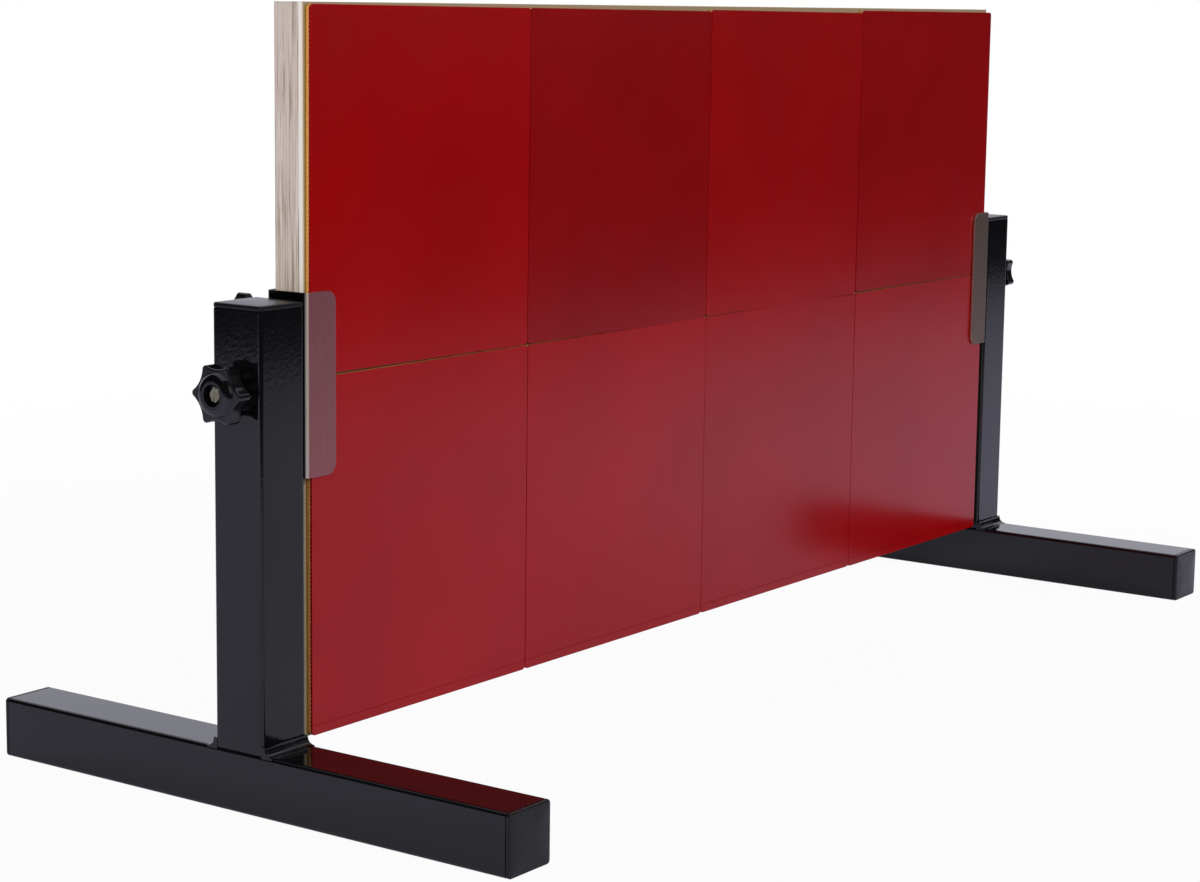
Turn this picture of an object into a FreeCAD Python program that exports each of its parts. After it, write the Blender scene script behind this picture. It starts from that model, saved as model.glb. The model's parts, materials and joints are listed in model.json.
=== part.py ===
import FreeCAD, Part
import math
import os

# Table tennis rebound board: a rubber-faced panel held between two steel stands.
# Millimetres. X runs along the board, Y points away from the player, Z is up.
# The origin is on the floor, midway between the stands and under the pivot axis.

# Rubber sheets on the playing face
sheet_columns = 4
sheet_rows = 2
sheet_width = 167.1
sheet_height = 171.5
sheet_seam = 0.4
sheet_corner = 1.5
sponge_thickness = 2.2
topsheet_thickness = 1.5

# Panel behind the rubber
panel_thickness = 18.0
side_reveal = 0.7
top_reveal = 2.0
bottom_reveal = 0.6
edge_band_thickness = 1.0
edge_band_round = 0.5

# Square tube of the feet and the posts
tube_size = 30.0
tube_wall = 1.5
tube_corner = 2.0
tube_least_inner_corner = 0.2
foot_tube_length = 314.0
post_length = 208.0
pivot_height = 200.0
weld_height = 4.5
weld_reach = 5.5
weld_hollow = 0.35

# Push-in end caps
cap_flange = 3.2
cap_edge_round = 1.0
cap_crown = 0.7
cap_plug_depth = 12.0
cap_plug_wall = 1.6
cap_plug_clearance = 1.2
cap_rib_count = 3
cap_rib_thickness = 0.8
cap_rib_pitch = 3.4
cap_rib_clearance = 0.1

# U brackets that hold the ends of the panel
bracket_length = 87.0
bracket_above_pivot = 0.8
bracket_flange = 20.5
bracket_sheet = 1.5
bracket_bend = 1.2
bracket_corner = 5.5
bracket_front_gap = 0.3
bracket_rear_gap = 0.3
web_slide_gap = 0.1
web_to_panel = 2.9
seam_above_pivot = 3.8
playing_face_ahead = 14.5

# Pivot bolt, through the bracket's web and the post
pivot_bolt_radius = 4.0
pivot_bolt_length = 46.0
pivot_bolt_tip = 0.8
pivot_head_radius = 6.0
pivot_head_height = 2.4
pivot_head_round = 0.5
pivot_socket_flats = 5.0
pivot_socket_depth = 4.5
pivot_running_gap = 0.05
pivot_web_gap = 0.1

# Star knobs
knob_lobes = 6
knob_radius = 15.0
knob_valley_radius = 11.8
knob_tip_radius = 2.0
knob_disc_thickness = 7.5
knob_edge_round = 0.8
knob_hub_length = 6.2
knob_hub_radius = 8.2
knob_neck_radius = 10.0
knob_dome_radius = 10.5
knob_dome_height = 2.5
knob_dome_flat_radius = 6.0
knob_dome_shoulder_out = 0.64
knob_dome_shoulder_up = 0.72
knob_mouth_radius = 5.2
knob_mouth_depth = 4.4
knob_floor = 1.8
knob_passage_gap = 0.2
knob_seat_gap = 0.05
left_pivot_knob_turn = 30.0
right_pivot_knob_turn = 5.0
clamp_knob_turn = 30.0
bush_radius = 6.0
bush_running_gap = 0.05

# Rear clamp screws, which press the panel forward in each bracket
clamp_screw_radius = 3.0
clamp_screw_length = 20.0
clamp_screw_tip = 0.5
clamp_screw_in_knob = 8.0
clamp_tip_gap = 0.05
clamp_spacing = 47.5
clamp_knob_to_post = 0.5
clamp_nut_flats = 10.0
clamp_nut_height = 5.0
clamp_nut_chamfer = 0.6
clamp_running_gap = 0.05
clamp_flange_gap = 0.3

# Derived places
stack_depth = panel_thickness + sponge_thickness + topsheet_thickness
face_y = -playing_face_ahead
topsheet_back_y = face_y + topsheet_thickness
panel_front_y = topsheet_back_y + sponge_thickness
panel_back_y = face_y + stack_depth
sheets_width = sheet_columns * sheet_width + (sheet_columns - 1) * sheet_seam
sheets_height = sheet_rows * sheet_height + (sheet_rows - 1) * sheet_seam
sheets_left_x = -sheets_width / 2
sheets_bottom_z = pivot_height + seam_above_pivot - sheets_height / 2
panel_half_width = sheets_width / 2 + side_reveal
panel_bottom_z = sheets_bottom_z - bottom_reveal
panel_top_z = sheets_bottom_z + sheets_height + top_reveal
web_inner_x = panel_half_width + web_to_panel
web_outer_x = web_inner_x + bracket_sheet
post_inner_x = web_outer_x + web_slide_gap
stand_x = post_inner_x + tube_size / 2
post_outer_x = post_inner_x + tube_size
post_top_z = tube_size + post_length
bracket_front_y = face_y - bracket_front_gap - bracket_sheet
bracket_back_y = panel_back_y + bracket_rear_gap + bracket_sheet
bracket_middle_z = pivot_height + bracket_above_pivot
clamp_x = post_inner_x - clamp_knob_to_post - knob_radius
screw_tip_y = panel_back_y + clamp_tip_gap
clamp_hub_y = screw_tip_y + clamp_screw_length
knob_height = knob_hub_length + knob_disc_thickness + knob_dome_height

X_AXIS = FreeCAD.Vector(1, 0, 0)
Y_AXIS = FreeCAD.Vector(0, 1, 0)
Z_AXIS = FreeCAD.Vector(0, 0, 1)
ORIGIN = FreeCAD.Vector(0, 0, 0)


def point(x, y, z=0.0):
    return FreeCAD.Vector(x, y, z)


def moved(shape, x=0.0, y=0.0, z=0.0):
    """A copy of the shape, shifted."""
    result = shape.copy()
    result.translate(point(x, y, z))
    return result


def turned(shape, axis, degrees):
    """A copy of the shape, turned about an axis through the origin."""
    result = shape.copy()
    result.rotate(ORIGIN, axis, degrees)
    return result


def mirrored(shape):
    """The same piece for the right-hand side."""
    return shape.mirror(ORIGIN, X_AXIS)


def box(x0, x1, y0, y1, z0, z1):
    return Part.makeBox(x1 - x0, y1 - y0, z1 - z0, point(x0, y0, z0))


def rod(radius, length, start, axis):
    return Part.makeCylinder(radius, length, start, axis)


def edges_along(shape, axis, test):
    """Straight edges of the shape that run along the axis and pass the test."""
    found = []
    for edge in shape.Edges:
        if isinstance(edge.Curve, Part.Line):
            direction = edge.tangentAt(edge.FirstParameter)
            if abs(abs(direction.dot(axis)) - 1.0) < 1e-6 and test(edge.CenterOfMass):
                found.append(edge)
    return found


def rounded_square(width, depth, radius):
    """Closed outline centred on the origin, in the XY plane."""
    a = width / 2
    b = depth / 2
    r = radius
    k = r * (1 - math.sqrt(0.5))
    corners = [
        (point(a, b - r), point(a - k, b - k), point(a - r, b)),
        (point(r - a, b), point(k - a, b - k), point(-a, b - r)),
        (point(-a, r - b), point(k - a, k - b), point(r - a, -b)),
        (point(a - r, -b), point(a - k, k - b), point(a, r - b)),
    ]
    edges = []
    for i, (start, middle, end) in enumerate(corners):
        edges.append(Part.Arc(start, middle, end).toShape())
        edges.append(Part.LineSegment(end, corners[(i + 1) % 4][0]).toShape())
    return Part.Wire(edges)


def rounded_bar(width, depth, radius, length):
    """Solid bar with rounded corners, standing on the XY plane."""
    return Part.Face(rounded_square(width, depth, radius)).extrude(point(0, 0, length))


def square_tube(length):
    """Hollow square tube standing on the XY plane."""
    bore = tube_size - 2 * tube_wall
    inner_corner = max(tube_corner - tube_wall, tube_least_inner_corner)
    outside = rounded_bar(tube_size, tube_size, tube_corner, length)
    return outside.cut(rounded_bar(bore, bore, inner_corner, length))


def foot_tube():
    """Tube along Y, resting on the floor, for the left stand."""
    tube = turned(square_tube(foot_tube_length), X_AXIS, -90)
    return moved(tube, -stand_x, -foot_tube_length / 2, tube_size / 2)


def post_tube():
    """Upright tube with the pivot hole through both side walls."""
    tube = moved(square_tube(post_length), -stand_x, 0, tube_size)
    hole_radius = pivot_bolt_radius + pivot_running_gap
    hole = rod(hole_radius, 2 * tube_size, point(-stand_x - tube_size, 0, pivot_height), X_AXIS)
    return tube.cut(hole)


def weld_beads():
    """Concave beads at the front and the back of the post's foot, as two solids."""
    y0 = tube_size / 2
    z0 = tube_size
    inner = tube_corner
    hollow_y = y0 + weld_reach * weld_hollow
    hollow_z = z0 + weld_height * weld_hollow
    top = point(0, y0, z0 + weld_height)
    toe = point(0, y0 + weld_reach, z0)
    outline = [
        Part.LineSegment(point(0, y0 - inner, z0 - inner), point(0, y0 - inner, z0 + weld_height)),
        Part.LineSegment(point(0, y0 - inner, z0 + weld_height), top),
        Part.Arc(top, point(0, hollow_y, hollow_z), toe),
        Part.LineSegment(toe, point(0, y0 + weld_reach, z0 - inner)),
        Part.LineSegment(point(0, y0 + weld_reach, z0 - inner), point(0, y0 - inner, z0 - inner)),
    ]
    face = Part.Face(Part.Wire([edge.toShape() for edge in outline]))
    bead = moved(face.extrude(point(tube_size, 0, 0)), -tube_size / 2)
    post = rounded_bar(tube_size, tube_size, tube_corner, tube_size + post_length)
    foot = rounded_bar(tube_size, tube_size, tube_corner, foot_tube_length)
    foot = moved(turned(foot, X_AXIS, -90), 0, -foot_tube_length / 2, tube_size / 2)
    rear = bead.cut(post).cut(foot)
    rear = largest_solid(rear)
    front = turned(rear, Z_AXIS, 180)
    return moved(Part.makeCompound([front, rear]), -stand_x)


def largest_solid(shape):
    return max(shape.Solids, key=lambda solid: solid.Volume)


def end_cap():
    """Push-in cap: the flange sits on z = 0 and the ribbed plug hangs below."""
    flange = rounded_bar(tube_size, tube_size, tube_corner, cap_flange)
    rim = [edge for edge in flange.Edges if edge.BoundBox.ZMin > cap_flange - 0.01]
    flange = flange.makeFillet(cap_edge_round, rim)
    half_diagonal = tube_size / math.sqrt(2)
    crown_radius = half_diagonal ** 2 / (2 * cap_crown)
    crown = Part.makeSphere(crown_radius, point(0, 0, cap_flange - crown_radius))
    flange = flange.common(crown)
    bore = tube_size - 2 * tube_wall
    core = bore - 2 * cap_plug_clearance
    hollow = core - 2 * cap_plug_wall
    plug = rounded_bar(core, core, tube_corner, cap_plug_depth)
    rib_size = bore - 2 * cap_rib_clearance
    rib_corner = max(tube_corner - tube_wall, tube_least_inner_corner) + cap_rib_clearance
    for i in range(cap_rib_count):
        rib = rounded_bar(rib_size, rib_size, rib_corner, cap_rib_thickness)
        plug = plug.fuse(moved(rib, z=cap_plug_depth - cap_rib_pitch * (i + 1)))
    plug = plug.cut(rounded_bar(hollow, hollow, tube_corner / 2, cap_plug_depth - cap_plug_wall))
    plug = moved(plug, z=-cap_plug_depth)
    return flange.fuse(plug).removeSplitter()


def post_cap():
    return moved(end_cap(), -stand_x, 0, post_top_z)


def foot_cap(side):
    """Cap on the foot's front end (side -1) or rear end (side 1)."""
    cap = turned(end_cap(), X_AXIS, -90 * side)
    return moved(cap, -stand_x, side * foot_tube_length / 2, tube_size / 2)


def edge_bands():
    """Strips glued round the panel: left, right, top and bottom."""
    t = edge_band_thickness
    w = panel_half_width
    side_strip = box(-w, -w + t, panel_front_y, panel_back_y, panel_bottom_z, panel_top_z)
    outer = edges_along(side_strip, Z_AXIS, lambda c: c.x < -w + t / 2)
    left = side_strip.makeFillet(edge_band_round, outer)
    flat = box(-w + t, w - t, panel_front_y, panel_back_y, panel_top_z - t, panel_top_z)
    upper = edges_along(flat, X_AXIS, lambda c: c.z > panel_top_z - t / 2)
    top = flat.makeFillet(edge_band_round, upper)
    middle_z = (panel_bottom_z + panel_top_z) / 2
    bottom = top.mirror(point(0, 0, middle_z), Z_AXIS)
    return {
        "edge_band_left": left,
        "edge_band_right": mirrored(left),
        "edge_band_top": top,
        "edge_band_bottom": bottom,
    }


def panel_core():
    """Board inside the edge bands."""
    t = edge_band_thickness
    w = panel_half_width - t
    return box(-w, w, panel_front_y, panel_back_y, panel_bottom_z + t, panel_top_z - t)


def rubber_layer(column, row, back_y, thickness):
    """One layer of one sheet, its back on back_y, its face towards the player."""
    x = sheets_left_x + column * (sheet_width + sheet_seam) + sheet_width / 2
    z = sheets_bottom_z + row * (sheet_height + sheet_seam) + sheet_height / 2
    layer = rounded_bar(sheet_width, sheet_height, sheet_corner, thickness)
    return moved(turned(layer, X_AXIS, 90), x, back_y, z)


def bracket():
    """Folded U of sheet steel, open towards the panel, with rounded flange corners."""
    outside = box(-web_outer_x, bracket_flange - web_outer_x, bracket_front_y, bracket_back_y,
                  0, bracket_length)
    inside = box(-web_inner_x, bracket_flange, bracket_front_y + bracket_sheet,
                 bracket_back_y - bracket_sheet, 0, bracket_length)
    bends = edges_along(outside, Z_AXIS, lambda c: c.x < -web_inner_x)
    outside = outside.makeFillet(bracket_bend + bracket_sheet, bends)
    folds = edges_along(inside, Z_AXIS, lambda c: c.x < 0)
    inside = inside.makeFillet(bracket_bend, folds)
    shape = outside.cut(inside)
    free_edge = bracket_flange - web_outer_x
    corners = edges_along(shape, Y_AXIS, lambda c: abs(c.x - free_edge) < 0.01)
    shape = shape.makeFillet(bracket_corner, corners)
    shape = moved(shape, z=bracket_middle_z - bracket_length / 2)
    web_hole = pivot_bolt_radius + pivot_web_gap
    start = point(-web_outer_x - bracket_sheet, 0, pivot_height)
    shape = shape.cut(rod(web_hole, 3 * bracket_sheet, start, X_AXIS))
    for z in clamp_heights():
        hole = rod(clamp_screw_radius + clamp_flange_gap, 3 * bracket_sheet,
                   point(-clamp_x, bracket_back_y - 2 * bracket_sheet, z), Y_AXIS)
        shape = shape.cut(hole)
    return shape


def clamp_heights():
    """Heights of the lower and the upper clamp screw."""
    return [bracket_middle_z - clamp_spacing / 2, bracket_middle_z + clamp_spacing / 2]


def hexagon(flats, height):
    """Hexagonal bar standing on the XY plane, with flats facing X."""
    radius = flats / math.sqrt(3)
    corners = [point(radius * math.cos(a), radius * math.sin(a))
               for a in [math.radians(30 + 60 * i) for i in range(7)]]
    return Part.Face(Part.makePolygon(corners)).extrude(point(0, 0, height))


def pivot_bolt():
    """Flat-head bolt from inside the bracket, out through the post."""
    head = rod(pivot_head_radius, pivot_head_height, ORIGIN, Z_AXIS)
    rim = [edge for edge in head.Edges if edge.BoundBox.ZMax < 0.01]
    head = head.makeFillet(pivot_head_round, rim)
    shank = rod(pivot_bolt_radius, pivot_bolt_length, point(0, 0, pivot_head_height), Z_AXIS)
    end_z = pivot_head_height + pivot_bolt_length
    tip = [edge for edge in shank.Edges if edge.BoundBox.ZMin > end_z - 0.01]
    shank = shank.makeChamfer(pivot_bolt_tip, tip)
    bolt = head.fuse(shank).cut(hexagon(pivot_socket_flats, pivot_socket_depth))
    bolt = turned(bolt.removeSplitter(), Y_AXIS, -90)
    return moved(bolt, pivot_head_height - web_inner_x, 0, pivot_height)


def star_outline():
    """Six rounded tips joined by shallow hollows, each arc tangent to the next."""
    tip_centre = knob_radius - knob_tip_radius
    half_pitch = math.pi / knob_lobes
    k = knob_tip_radius - knob_valley_radius
    hollow_centre = (tip_centre ** 2 - k ** 2) / (2 * (k + tip_centre * math.cos(half_pitch)))
    hollow_radius = hollow_centre - knob_valley_radius
    share = knob_tip_radius / (knob_tip_radius + hollow_radius)
    join_x = tip_centre + share * (hollow_centre * math.cos(half_pitch) - tip_centre)
    join_y = share * hollow_centre * math.sin(half_pitch)
    join_radius = math.hypot(join_x, join_y)
    join_angle = math.atan2(join_y, join_x)

    def polar(radius, angle):
        return point(radius * math.cos(angle), radius * math.sin(angle))

    edges = []
    for i in range(knob_lobes):
        lobe = 2 * half_pitch * i
        start = polar(join_radius, lobe - join_angle)
        end = polar(join_radius, lobe + join_angle)
        following = polar(join_radius, lobe + 2 * half_pitch - join_angle)
        edges.append(Part.Arc(start, polar(knob_radius, lobe), end).toShape())
        hollow = polar(knob_valley_radius, lobe + half_pitch)
        edges.append(Part.Arc(end, hollow, following).toShape())
    return Part.Wire(edges)


def star_knob():
    """Moulded knob without its bore: the hub stands on z = 0, the dome is on top."""
    disc = Part.Face(star_outline()).extrude(point(0, 0, knob_disc_thickness))
    faces_z = (0.01, knob_disc_thickness - 0.01)
    rims = [edge for edge in disc.Edges
            if edge.BoundBox.ZMax < faces_z[0] or edge.BoundBox.ZMin > faces_z[1]]
    disc = moved(disc.makeFillet(knob_edge_round, rims), z=knob_hub_length)
    hub = Part.makeCone(knob_hub_radius, knob_neck_radius, knob_hub_length + knob_edge_round)
    dome_z = knob_hub_length + knob_disc_thickness
    side = point(knob_dome_radius, 0, dome_z)
    crest = point(knob_dome_flat_radius, 0, dome_z + knob_dome_height)
    shoulder = (knob_dome_radius - knob_dome_flat_radius) * knob_dome_shoulder_out
    rise_z = dome_z + knob_dome_height * knob_dome_shoulder_up
    rise = point(knob_dome_flat_radius + shoulder, 0, rise_z)
    profile = [
        Part.LineSegment(point(0, 0, dome_z - knob_edge_round), point(0, 0, crest.z)).toShape(),
        Part.LineSegment(point(0, 0, crest.z), crest).toShape(),
        Part.Arc(crest, rise, side).toShape(),
        Part.LineSegment(side, point(side.x, 0, dome_z - knob_edge_round)).toShape(),
        Part.LineSegment(point(side.x, 0, dome_z - knob_edge_round),
                         point(0, 0, dome_z - knob_edge_round)).toShape(),
    ]
    dome = Part.Face(Part.Wire(profile)).revolve(ORIGIN, Z_AXIS, 360)
    return disc.fuse([hub, dome]).removeSplitter()


def bush_length():
    """The bush ends one floor thickness short of the knob's open mouth."""
    return knob_height - knob_mouth_depth - knob_floor


def pivot_knob(turn):
    """Star knob with a pocket for its threaded bush and an open mouth for the bolt's end."""
    pocket = rod(bush_radius + bush_running_gap, bush_length(), ORIGIN, Z_AXIS)
    passage = rod(pivot_bolt_radius + knob_passage_gap, knob_height, ORIGIN, Z_AXIS)
    mouth_z = knob_height - knob_mouth_depth
    mouth = rod(knob_mouth_radius, knob_mouth_depth, point(0, 0, mouth_z), Z_AXIS)
    knob = star_knob().cut(pocket).cut(passage).cut(mouth)
    return on_pivot(turned(knob, Z_AXIS, turn))


def pivot_bush():
    """Threaded bush inside the pivot knob, running on the bolt."""
    length = bush_length() - bush_running_gap
    bush = rod(bush_radius, length, ORIGIN, Z_AXIS)
    bore = rod(pivot_bolt_radius + pivot_running_gap, length, ORIGIN, Z_AXIS)
    return on_pivot(bush.cut(bore))


def on_pivot(shape):
    """Stands a piece made along +Z on the left post's outer face, pointing outwards."""
    return moved(turned(shape, Y_AXIS, -90), -post_outer_x - knob_seat_gap, 0, pivot_height)


def clamp_nuts():
    """Weld nuts on the bracket's rear flange, one solid for each clamp screw."""
    nut = hexagon(clamp_nut_flats, clamp_nut_height)
    corner_radius = clamp_nut_flats / math.sqrt(3)
    cone = Part.makeCone(corner_radius + clamp_nut_height, corner_radius - clamp_nut_chamfer,
                         clamp_nut_height + clamp_nut_chamfer)
    nut = nut.common(cone)
    nut = nut.cut(rod(clamp_screw_radius + clamp_running_gap, clamp_nut_height, ORIGIN, Z_AXIS))
    nut = turned(nut, X_AXIS, -90)
    nuts = [moved(nut, -clamp_x, bracket_back_y, z) for z in clamp_heights()]
    return Part.makeCompound(nuts)


def clamp_screw(z):
    """Screw whose flat tip bears on the back of the panel."""
    length = clamp_screw_length + clamp_screw_in_knob
    screw = rod(clamp_screw_radius, length, ORIGIN, Z_AXIS)
    tip = [edge for edge in screw.Edges if edge.BoundBox.ZMax < 0.01]
    screw = screw.makeChamfer(clamp_screw_tip, tip)
    return moved(turned(screw, X_AXIS, -90), -clamp_x, screw_tip_y, z)


def clamp_knob(z):
    """Star knob on the outer end of a clamp screw."""
    pocket = rod(clamp_screw_radius + clamp_running_gap, clamp_screw_in_knob + clamp_running_gap,
                 ORIGIN, Z_AXIS)
    knob = turned(star_knob().cut(pocket), Z_AXIS, clamp_knob_turn)
    return moved(turned(knob, X_AXIS, -90), -clamp_x, clamp_hub_y, z)


def side_pieces(pivot_knob_turn):
    """Every piece of the left stand and the left end of the board, apart from the bands."""
    lower, upper = clamp_heights()
    return {
        "foot_tube": foot_tube(),
        "foot_front_cap": foot_cap(-1),
        "foot_rear_cap": foot_cap(1),
        "post_tube": post_tube(),
        "post_cap": post_cap(),
        "post_weld_beads": weld_beads(),
        "bracket": bracket(),
        "clamp_nuts": clamp_nuts(),
        "pivot_bolt": pivot_bolt(),
        "pivot_bush": pivot_bush(),
        "pivot_knob": pivot_knob(pivot_knob_turn),
        "lower_clamp_screw": clamp_screw(lower),
        "lower_clamp_knob": clamp_knob(lower),
        "upper_clamp_screw": clamp_screw(upper),
        "upper_clamp_knob": clamp_knob(upper),
    }


def all_pieces():
    """Node name to shape, for the whole board and its stands."""
    pieces = {"panel_core": panel_core()}
    pieces.update(edge_bands())
    for row, row_name in enumerate(["lower", "upper"]):
        for column in range(sheet_columns):
            label = "%s_%d" % (row_name, column + 1)
            sponge = rubber_layer(column, row, panel_front_y, sponge_thickness)
            skin = rubber_layer(column, row, topsheet_back_y, topsheet_thickness)
            pieces["sponge_" + label] = sponge
            pieces["topsheet_" + label] = skin
    for name, shape in side_pieces(left_pivot_knob_turn).items():
        pieces["left_" + name] = shape
    for name, shape in side_pieces(right_pivot_knob_turn).items():
        pieces["right_" + name] = mirrored(shape)
    return pieces


os.makedirs("parts", exist_ok=True)
for node, shape in all_pieces().items():
    shape.exportStep("parts/" + node + ".step")
    solids = len(shape.Solids)
    print("%-26s solids %d valid %s volume %.0f" % (node, solids, shape.isValid(), shape.Volume))
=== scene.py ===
import json
import math

import bmesh
import bpy
from mathutils import Matrix, Vector

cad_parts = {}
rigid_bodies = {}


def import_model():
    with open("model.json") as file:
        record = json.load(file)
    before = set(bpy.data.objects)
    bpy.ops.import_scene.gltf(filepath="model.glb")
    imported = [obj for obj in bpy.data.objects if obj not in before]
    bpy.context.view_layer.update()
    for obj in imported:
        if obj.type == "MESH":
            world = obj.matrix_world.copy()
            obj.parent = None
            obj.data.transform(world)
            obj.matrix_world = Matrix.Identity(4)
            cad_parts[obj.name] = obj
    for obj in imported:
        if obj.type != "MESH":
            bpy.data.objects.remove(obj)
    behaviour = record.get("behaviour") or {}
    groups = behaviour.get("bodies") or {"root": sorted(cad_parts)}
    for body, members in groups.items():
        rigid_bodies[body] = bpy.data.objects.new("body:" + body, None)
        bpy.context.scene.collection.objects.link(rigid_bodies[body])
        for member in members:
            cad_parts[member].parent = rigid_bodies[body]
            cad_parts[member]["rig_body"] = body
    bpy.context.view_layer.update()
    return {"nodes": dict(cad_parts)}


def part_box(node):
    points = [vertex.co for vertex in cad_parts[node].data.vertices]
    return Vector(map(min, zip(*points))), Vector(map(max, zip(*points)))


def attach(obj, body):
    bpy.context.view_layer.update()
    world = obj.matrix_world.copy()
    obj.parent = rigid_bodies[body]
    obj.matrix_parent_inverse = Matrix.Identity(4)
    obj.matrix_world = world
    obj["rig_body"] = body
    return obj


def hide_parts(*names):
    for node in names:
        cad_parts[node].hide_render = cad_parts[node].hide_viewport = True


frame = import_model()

MM = 0.001
X, Y, Z = 0, 1, 2
SIDES = ("left", "right")
ROWS = ("lower", "upper")
MIRROR = Matrix.Scale(-1, 4, (1, 0, 0))


# Nodes and colours

# A Mix node's colour sockets share their names with its other sockets, so they go by number
FACTOR, FIRST, SECOND, MIXED = 0, 6, 7, 2


def colour(code):
    """An sRGB hex value as the linear colour that a shader takes."""
    channels = [int(code[i:i + 2], 16) / 255 for i in (1, 3, 5)]
    linear = [c / 12.92 if c <= 0.04045 else ((c + 0.055) / 1.055) ** 2.4 for c in channels]
    return (*linear, 1.0)


def add(material, kind, links=None, stops=(), **settings):
    """Adds a shader node. links gives a socket a value, another node's output, or a node,
    which stands for its first output. stops are a colour ramp's positions and hex values."""
    tree = material.node_tree
    made = tree.nodes.new("ShaderNode" + kind)
    for name, value in settings.items():
        setattr(made, name, value)
    for socket, value in (links or {}).items():
        if isinstance(value, bpy.types.Node):
            value = value.outputs[0]
        if isinstance(value, bpy.types.NodeSocket):
            tree.links.new(value, made.inputs[socket])
        else:
            made.inputs[socket].default_value = value
    if stops:
        elements = made.color_ramp.elements
        while len(elements) < len(stops):
            elements.new(0.5)
        for element, (share, code) in zip(elements, stops):
            element.position = share
            element.color = colour(code)
    return made


def finish(name, **sockets):
    """A new material whose surface has these plain values; names use _ for a space."""
    made = bpy.data.materials.new(name)
    made.use_nodes = True
    surface = made.node_tree.nodes["Principled BSDF"]
    for socket, value in sockets.items():
        surface.inputs[socket.replace("_", " ")].default_value = value
    return made


def connect(material, **sockets):
    """Joins the surface's sockets to nodes or outputs; names use _ for a space."""
    surface = material.node_tree.nodes["Principled BSDF"]
    for socket, source in sockets.items():
        output = source.outputs[0] if isinstance(source, bpy.types.Node) else source
        material.node_tree.links.new(output, surface.inputs[socket.replace("_", " ")])


def place(material, scale=(1, 1, 1)):
    """Object coordinates, stretched along each axis."""
    source = add(material, "TexCoord").outputs["Object"]
    return add(material, "Mapping", {"Vector": source, "Scale": scale})


def position(material, axis, start, end):
    """0 to 1 between two places along an axis."""
    value = add(material, "SeparateXYZ", {"Vector": place(material)}).outputs[axis]
    return add(material, "MapRange", {"Value": value, "From Min": start, "From Max": end})


def lumps(size):
    """Scale of a noise whose lumps are about this many millimetres across."""
    return 1 / (size * MM)


# Finishes

SPONGE_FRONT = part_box("sponge_lower_1")[0].y
PANEL_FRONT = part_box("sponge_lower_1")[1].y
FLANGE_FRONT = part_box("left_bracket")[0].y
# How far back from the panel's face the trimmed strips on its edges reach
STRIPS_BACK = PANEL_FRONT + 3.0 * MM
# How far from the middle the brackets' painted reflection tints are full
PAINTED_TINT_REACH = 340 * MM


def smooth_rubber(name, main, deep):
    """Vulcanised natural rubber pressed against a polished mould: soft gloss, faint waves."""
    made = finish(name, Roughness=0.19, IOR=1.39)
    where = place(made)
    clouds = add(made, "TexNoise", {"Vector": where, "Scale": lumps(90), "Detail": 1})
    shade = add(made, "ValToRGB", {"Fac": clouds}, stops=((0.3, deep), (0.7, main)))
    patches = add(made, "TexNoise", {"Vector": where, "Scale": lumps(25)})
    gloss = add(made, "MapRange", {"Value": patches, "To Min": 0.17, "To Max": 0.22})
    swell = add(made, "TexNoise", {"Vector": where, "Scale": lumps(14), "Detail": 1})
    waves = add(made, "Bump", {"Height": swell, "Distance": 0.02 * MM})
    grain = add(made, "TexNoise", {"Vector": where, "Scale": lumps(0.9)})
    skin = add(made, "Bump", {"Height": grain, "Distance": 0.004 * MM, "Normal": waves})
    connect(made, Base_Color=shade, Roughness=gloss, Normal=skin)
    return made


def orange_sponge():
    """Expanded rubber, cut with a blade: matt, open cells, and darker and olive towards the panel.
    """
    made = finish("expanded_rubber_sponge", Roughness=0.9, IOR=1.45)
    depth = position(made, "Y", SPONGE_FRONT, PANEL_FRONT)
    # Darker and olive towards the panel
    darker_towards_panel = add(made, "ValToRGB", {"Fac": depth}, stops=((0.5, "#e6a55c"), (0.66, "#8f7122")))
    cells = add(made, "TexNoise", {"Vector": place(made), "Scale": lumps(0.35), "Detail": 3})
    pores = add(made, "ValToRGB", {"Fac": cells}, stops=((0.35, "#c08a50"), (0.6, "#ffffff")))
    body = add(made, "Mix", {FACTOR: 0.8, FIRST: darker_towards_panel, SECOND: pores}, data_type="RGBA",
               blend_type="MULTIPLY").outputs[MIXED]
    hollows = add(made, "Bump", {"Height": cells, "Distance": 0.12 * MM})
    connect(made, Base_Color=body, Normal=hollows)
    return made


def oak_decor(name, stretch):
    """Melamine paper decor of pale oak: fine dark pores along the grain, and by the face a pale
    strip and a beige one, where the lipping was trimmed and the face paper ends."""
    made = finish(name, Roughness=0.5, IOR=1.5)
    where = place(made, stretch)
    figure = add(made, "TexNoise", {"Vector": where, "Scale": lumps(5), "Detail": 3,
                                    "Roughness": 0.6})
    base = add(made, "ValToRGB", {"Fac": figure},
               stops=((0.3, "#b9ab9e"), (0.5, "#c3b6a9"), (0.72, "#cbbfb3")))
    pores = add(made, "TexNoise", {"Vector": where, "Scale": lumps(0.9), "Detail": 4,
                                   "Roughness": 0.7})
    streaks = add(made, "ValToRGB", {"Fac": pores}, stops=((0.36, "#a08c7c"), (0.52, "#ffffff")))
    wood = add(made, "Mix", {FACTOR: 0.8, FIRST: base, SECOND: streaks}, data_type="RGBA",
               blend_type="MULTIPLY").outputs[MIXED]
    strips = add(made, "ValToRGB", {"Fac": position(made, "Y", PANEL_FRONT, STRIPS_BACK)},
                 stops=((0.04, "#8f7c5c"), (0.2, "#d3c6b2"), (0.45, "#e0d9cf")))
    trimmed = position(made, "Y", STRIPS_BACK, STRIPS_BACK - 0.2 * MM)
    edge = add(made, "Mix", {FACTOR: trimmed, FIRST: wood, SECOND: strips},
               data_type="RGBA").outputs[MIXED]
    grain = add(made, "Bump", {"Height": pores, "Distance": 0.05 * MM})
    connect(made, Base_Color=edge, Normal=grain)
    return made


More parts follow.
